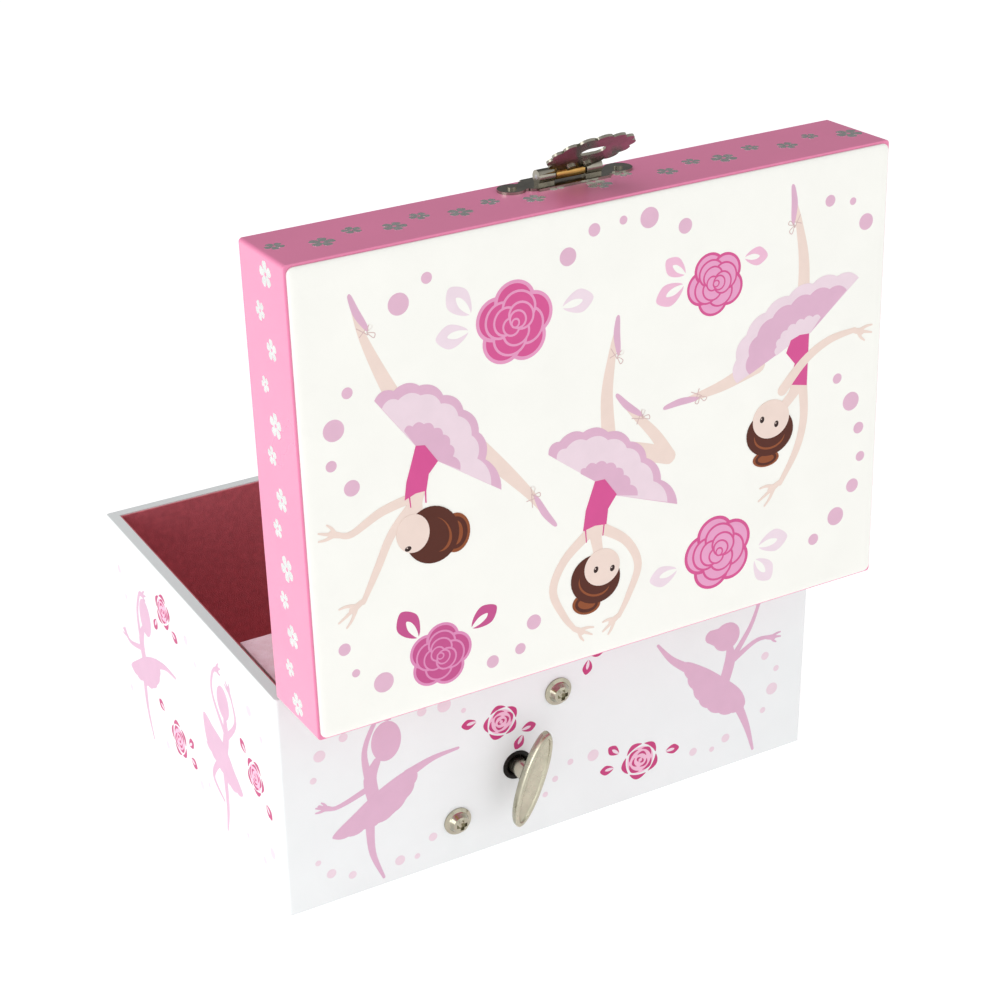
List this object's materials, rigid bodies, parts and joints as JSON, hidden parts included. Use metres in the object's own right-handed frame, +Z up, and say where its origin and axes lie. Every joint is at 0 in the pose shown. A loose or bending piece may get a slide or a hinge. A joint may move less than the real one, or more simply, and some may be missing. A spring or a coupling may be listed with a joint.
{
  "type": "ballerina jewellery box",
  "caption": "Paper-covered card jewellery box with a hinged padded lid, clasp, wind-up musical movement and a spring-mounted turning dancer.",
  "frame": {"origin": "centre of the underside of the base", "axes": "+X to the right seen from the front, +Y to the back where the hinges and winding key are, +Z up; the lid stands open at rest"},
  "size_m": [0.155, 0.1413, 0.1911],
  "materials": {
    "white_paper": "matt printed paper",
    "pink_paper": "satin printed paper",
    "printed_panel": "satin printed paper over thin padding",
    "grey_board": "plain board",
    "dark_lining": "flocked",
    "rose_felt": "felt",
    "lid_cloth": "satin cloth",
    "mirror_glass": "silvered",
    "nickel": "bright nickel plate",
    "dark_nickel": "antique nickel plate",
    "brass": "lacquered",
    "steel": "bare steel",
    "spring_steel": "blued",
    "zinc": "die cast, bare",
    "gear_plastic": "moulded",
    "black_plastic": "moulded",
    "doll_plastic": "moulded and painted",
    "skirt_net": "stiff net"
  },
  "bodies": {
    "case": {"base_wrap": "white_paper", "base_bottom_paper": "white_paper", "base_floor": "grey_board", "base_front_wall": "grey_board", "base_back_wall": "grey_board", "base_left_wall": "grey_board", "base_right_wall": "grey_board", "lining_floor": "dark_lining", "lining_walls": "dark_lining", "movement_divider": "grey_board", "divider_lining": "dark_lining", "stage_board": "grey_board", "stage_felt": "rose_felt", "stage_blocks": "grey_board", "spindle_bush": "gear_plastic", "hinge_base_leaves": "brass", "hinge_pins": "steel", "base_nails": "brass", "clasp_keeper": "dark_nickel", "movement_bedplate": "zinc", "bearing_frame": "steel", "movement_screws": "nickel", "key_bush": "black_plastic", "tune_comb": "steel", "comb_screws": "steel", "lever_pin": "steel", "coil_spring": "steel"},
    "lid": {"lid_wrap": "pink_paper", "lid_top_board": "grey_board", "lid_front_board": "grey_board", "lid_back_board": "grey_board", "lid_left_board": "grey_board", "lid_right_board": "grey_board", "lid_top_pad": "printed_panel", "lid_lining": "lid_cloth", "mirror": "mirror_glass", "hinge_lid_leaves": "brass", "lid_nails": "dark_nickel", "clasp_plate": "dark_nickel", "clasp_pin": "steel"},
    "hasp": {"hasp_tongue": "brass", "hasp_shield": "dark_nickel", "hasp_rivets": "brass"},
    "key": {"winding_key": "nickel", "key_stem": "nickel", "winding_arbor": "steel"},
    "barrel": {"spring_barrel": "zinc", "mainspring": "spring_steel"},
    "drum": {"tune_drum": "brass", "drum_arbor": "steel", "drum_gear": "steel", "top_gear": "gear_plastic"},
    "governor": {"governor_wheel": "gear_plastic"},
    "fan": {"governor_fan": "gear_plastic"},
    "spindle": {"dancer_spindle": "steel", "spindle_gear": "gear_plastic"},
    "dancer_tilt": {"spring_ferrule": "brass"},
    "dancer": {"dancer_figure": "doll_plastic", "dancer_skirt": "skirt_net"},
    "stop_lever": {"stop_lever": "steel"}
  },
  "joints": [
    {"name": "lid_hinge", "type": "hinge", "parent": "case", "child": "lid", "pos_m": [0, 0.05725, 0.0627], "axis": [-1, 0, 0], "range_deg": [-88, 0]},
    {"name": "hasp_pivot", "type": "hinge", "parent": "lid", "child": "hasp", "pos_m": [0, 0.05981, 0.17851], "axis": [-1, 0, 0], "range_deg": [-143, 22]},
    {"name": "key_wind", "type": "hinge", "parent": "case", "child": "key", "pos_m": [0.0124, 0.06, 0.0226], "axis": [0, 1, 0], "continuous": true},
    {"name": "barrel_spin", "type": "hinge", "parent": "case", "child": "barrel", "pos_m": [0.0124, 0.045, 0.0226], "axis": [0, 1, 0], "continuous": true},
    {"name": "drum_spin", "type": "hinge", "parent": "case", "child": "drum", "pos_m": [0.0124, 0.038, 0.045], "axis": [0, 0, 1], "continuous": true},
    {"name": "governor_spin", "type": "hinge", "parent": "case", "child": "governor", "pos_m": [0.00461, 0.0425, 0.045], "axis": [0, 0, 1], "continuous": true},
    {"name": "fan_spin", "type": "hinge", "parent": "case", "child": "fan", "pos_m": [-0.00075, 0.04055, 0.045], "axis": [0, 0, 1], "continuous": true},
    {"name": "spindle_spin", "type": "hinge", "parent": "case", "child": "spindle", "pos_m": [0, 0.038, 0.058], "axis": [0, 0, 1], "continuous": true},
    {"name": "dancer_fold", "type": "hinge", "parent": "case", "child": "dancer_tilt", "pos_m": [0, 0.038, 0.0648], "axis": [-1, 0, 0], "range_deg": [-86, 0], "deforming": ["coil_spring"]},
    {"name": "dancer_spin", "type": "hinge", "parent": "dancer_tilt", "child": "dancer", "pos_m": [0, 0.038, 0.068], "axis": [0, 0, 1], "continuous": true},
    {"name": "stop_lever_tilt", "type": "hinge", "parent": "case", "child": "stop_lever", "pos_m": [-0.007, 0.0475, 0.047], "axis": [-1, 0, 0], "range_deg": [-6.2, 0]}
  ],
  "couplings": [
    {"joint": "drum_spin", "follows": "barrel_spin", "ratio": -5},
    {"joint": "governor_spin", "follows": "barrel_spin", "ratio": 20},
    {"joint": "fan_spin", "follows": "barrel_spin", "ratio": -75},
    {"joint": "spindle_spin", "follows": "barrel_spin", "ratio": 5},
    {"joint": "dancer_spin", "follows": "barrel_spin", "ratio": 5},
    {"joint": "dancer_fold", "follows": "lid_hinge", "ratio": 0.97},
    {"joint": "stop_lever_tilt", "follows": "lid_hinge", "ratio": 0.0682}
  ]
}
